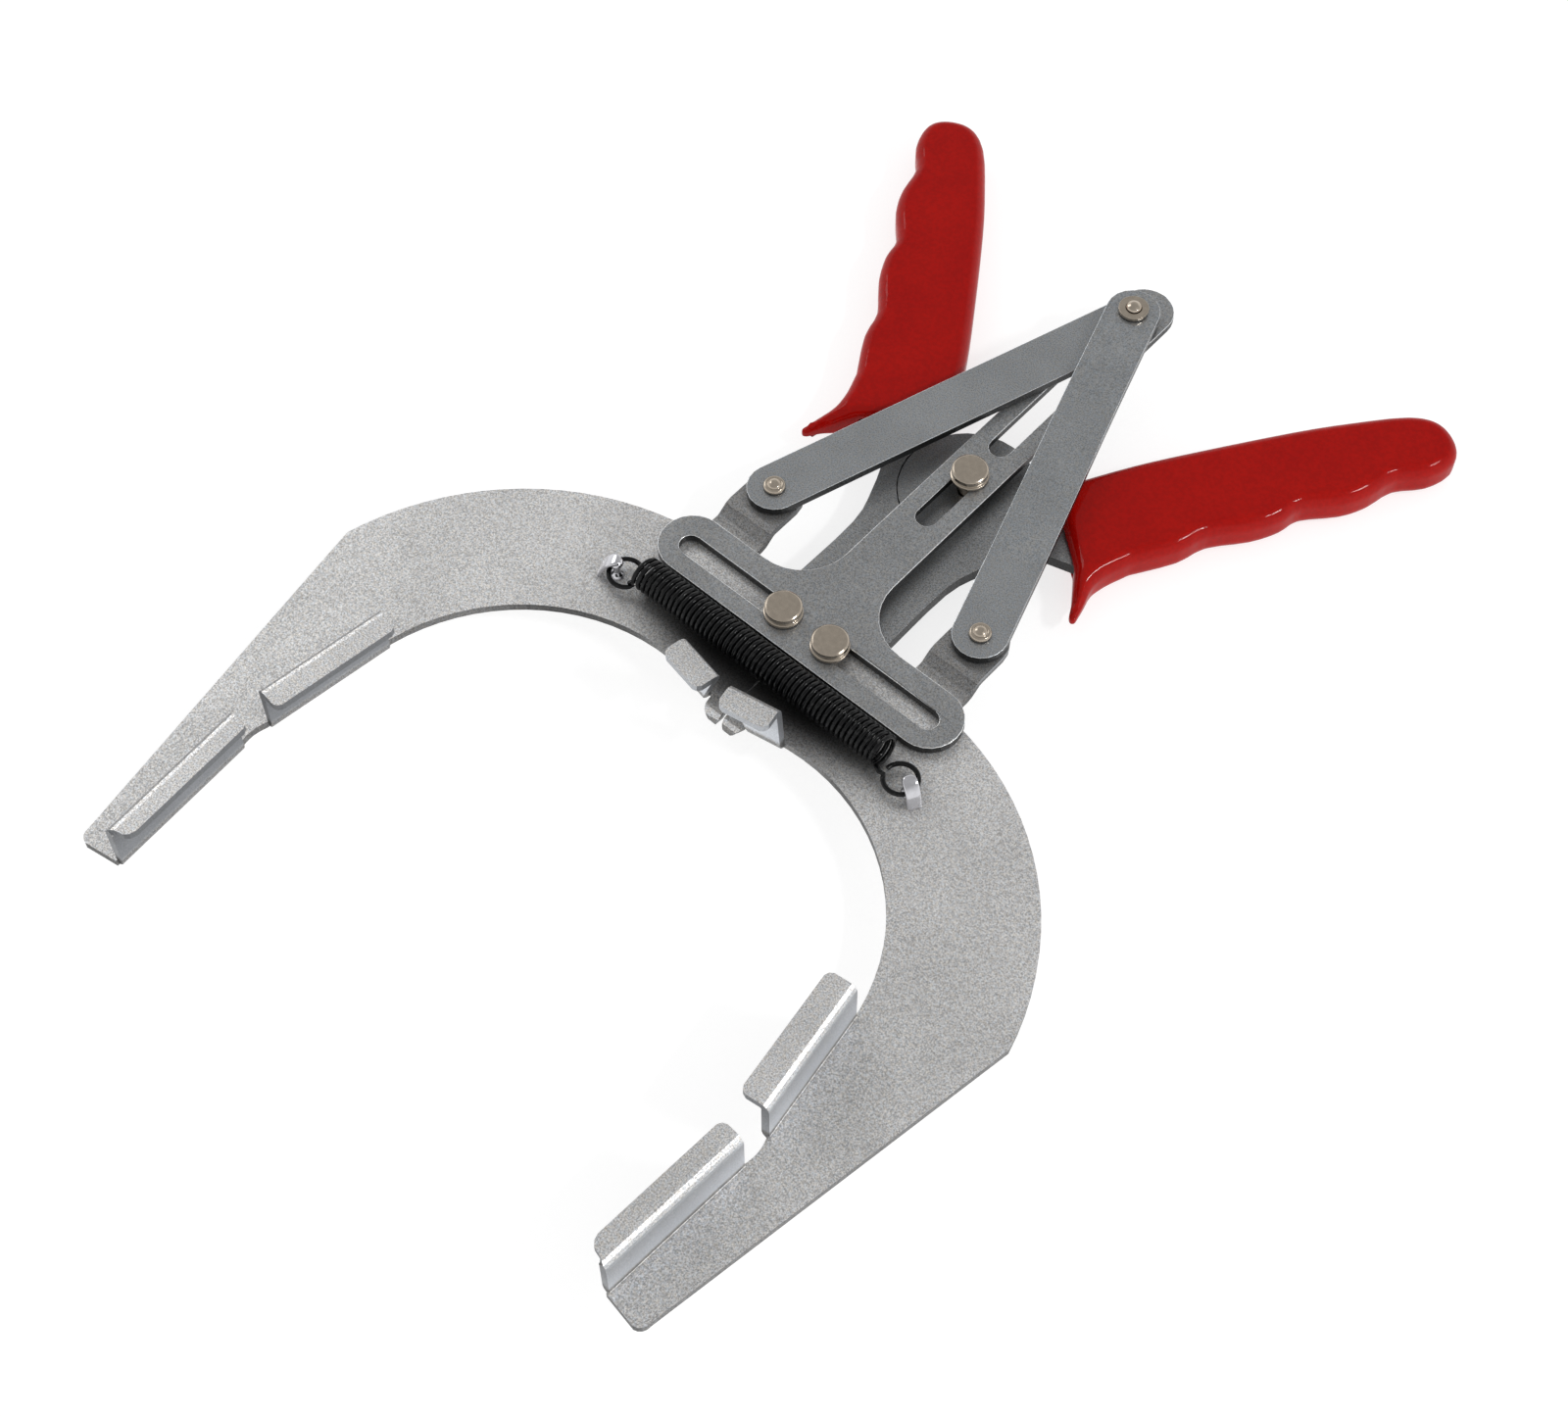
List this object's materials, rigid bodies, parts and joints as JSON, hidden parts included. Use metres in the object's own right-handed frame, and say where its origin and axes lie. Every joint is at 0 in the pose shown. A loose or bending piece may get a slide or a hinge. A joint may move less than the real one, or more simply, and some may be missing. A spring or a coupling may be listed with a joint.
{
  "type": "piston ring expander",
  "caption": "Piston ring expander: two sickle jaws on a slotted guide plate, spread by reverse plier levers with red grips and drawn together by a spring.",
  "frame": {"origin": "middle of the pivot stud's flat head, on its top", "axes": "+X to the right along the crossbar, +Y along the stem towards the grips, +Z out of the guide plate's top face"},
  "size_m": [0.181, 0.2657, 0.0208],
  "materials": {
    "zinc_plate": "fine-grained zinc plating",
    "satin_zinc": "satin zinc plating",
    "nickel": "bright nickel plating",
    "plain_steel": "satin",
    "black_wire": "black oxide",
    "red_vinyl": "semi-gloss dipped vinyl"
  },
  "bodies": {
    "guide": {"guide_plate": "satin_zinc", "spring": "black_wire"},
    "left_stud": {"stud_left": "nickel", "stud_washer_left": "plain_steel"},
    "right_stud": {"stud_right": "nickel", "stud_washer_right": "plain_steel"},
    "pivot": {"stud_pivot": "nickel", "pivot_washer": "plain_steel"},
    "left_lever": {"lever_left": "satin_zinc", "grip_left": "red_vinyl"},
    "right_lever": {"lever_right": "satin_zinc", "grip_right": "red_vinyl"},
    "left_jaw": {"jaw_left": "zinc_plate"},
    "right_jaw": {"jaw_right": "zinc_plate"},
    "left_link_pin": {"link_rivet_left": "nickel", "link_washer_left": "plain_steel"},
    "right_link_pin": {"link_rivet_right": "nickel", "link_washer_right": "plain_steel"},
    "left_link": {"link_left": "satin_zinc", "apex_rivet": "nickel", "apex_collar": "nickel", "apex_washer": "plain_steel"},
    "right_link": {"link_right": "satin_zinc"}
  },
  "joints": [
    {"name": "left_stud_slide", "type": "slide", "parent": "guide", "child": "left_stud", "axis": [-1, 0, 0], "range_m": [0, 0.026], "stiffness_N_per_m": 800, "deforming": ["spring"]},
    {"name": "right_stud_slide", "type": "slide", "parent": "guide", "child": "right_stud", "axis": [1, 0, 0], "range_m": [0, 0.026]},
    {"name": "pivot_slide", "type": "slide", "parent": "guide", "child": "pivot", "axis": [0, -1, 0], "range_m": [0, 0.0091]},
    {"name": "left_lever_hinge", "type": "hinge", "parent": "pivot", "child": "left_lever", "pos_m": [0, 0, -0.0029], "axis": [0, 0, -1], "range_deg": [0, 29.7]},
    {"name": "right_lever_hinge", "type": "hinge", "parent": "pivot", "child": "right_lever", "pos_m": [0, 0, -0.0029], "axis": [0, 0, 1], "range_deg": [0, 29.7]},
    {"name": "left_jaw_swing", "type": "hinge", "parent": "left_stud", "child": "left_jaw", "pos_m": [-0.0064, -0.0529, -0.0029], "axis": [0, 0, -1], "range_deg": [0, 9], "stiffness_Nm_per_rad": 1},
    {"name": "left_link_spread", "type": "hinge", "parent": "left_jaw", "child": "left_link_pin", "pos_m": [-0.0283, -0.0311, -0.0029], "axis": [0, 0, -1], "range_deg": [0, 18]},
    {"name": "left_link_swing", "type": "hinge", "parent": "left_link_pin", "child": "left_link", "pos_m": [-0.0283, -0.0311, -0.0029], "axis": [0, 0, 1], "range_deg": [0, 11.6]},
    {"name": "right_jaw_swing", "type": "hinge", "parent": "right_stud", "child": "right_jaw", "pos_m": [0.0064, -0.0529, -0.0029], "axis": [0, 0, 1], "range_deg": [0, 9]},
    {"name": "right_link_spread", "type": "hinge", "parent": "right_jaw", "child": "right_link_pin", "pos_m": [0.0283, -0.0311, -0.0029], "axis": [0, 0, 1], "range_deg": [0, 18]},
    {"name": "right_link_swing", "type": "hinge", "parent": "right_link_pin", "child": "right_link", "pos_m": [0.0283, -0.0311, -0.0029], "axis": [0, 0, -1], "range_deg": [0, 11.6]}
  ],
  "couplings": [
    {"joint": "right_stud_slide", "follows": "left_stud_slide", "ratio": 1},
    {"joint": "pivot_slide", "follows": "left_stud_slide", "ratio": 0.3485},
    {"joint": "left_lever_hinge", "follows": "left_stud_slide", "rad_per_m": 19.896},
    {"joint": "right_lever_hinge", "follows": "left_stud_slide", "rad_per_m": 19.896},
    {"joint": "left_link_spread", "follows": "left_stud_slide", "rad_per_m": 12.067},
    {"joint": "right_link_spread", "follows": "left_stud_slide", "rad_per_m": 12.067},
    {"joint": "right_jaw_swing", "follows": "left_jaw_swing", "ratio": 1},
    {"joint": "left_link_swing", "follows": "left_jaw_swing", "ratio": 1.2844},
    {"joint": "right_link_swing", "follows": "left_jaw_swing", "ratio": 1.2844}
  ]
}
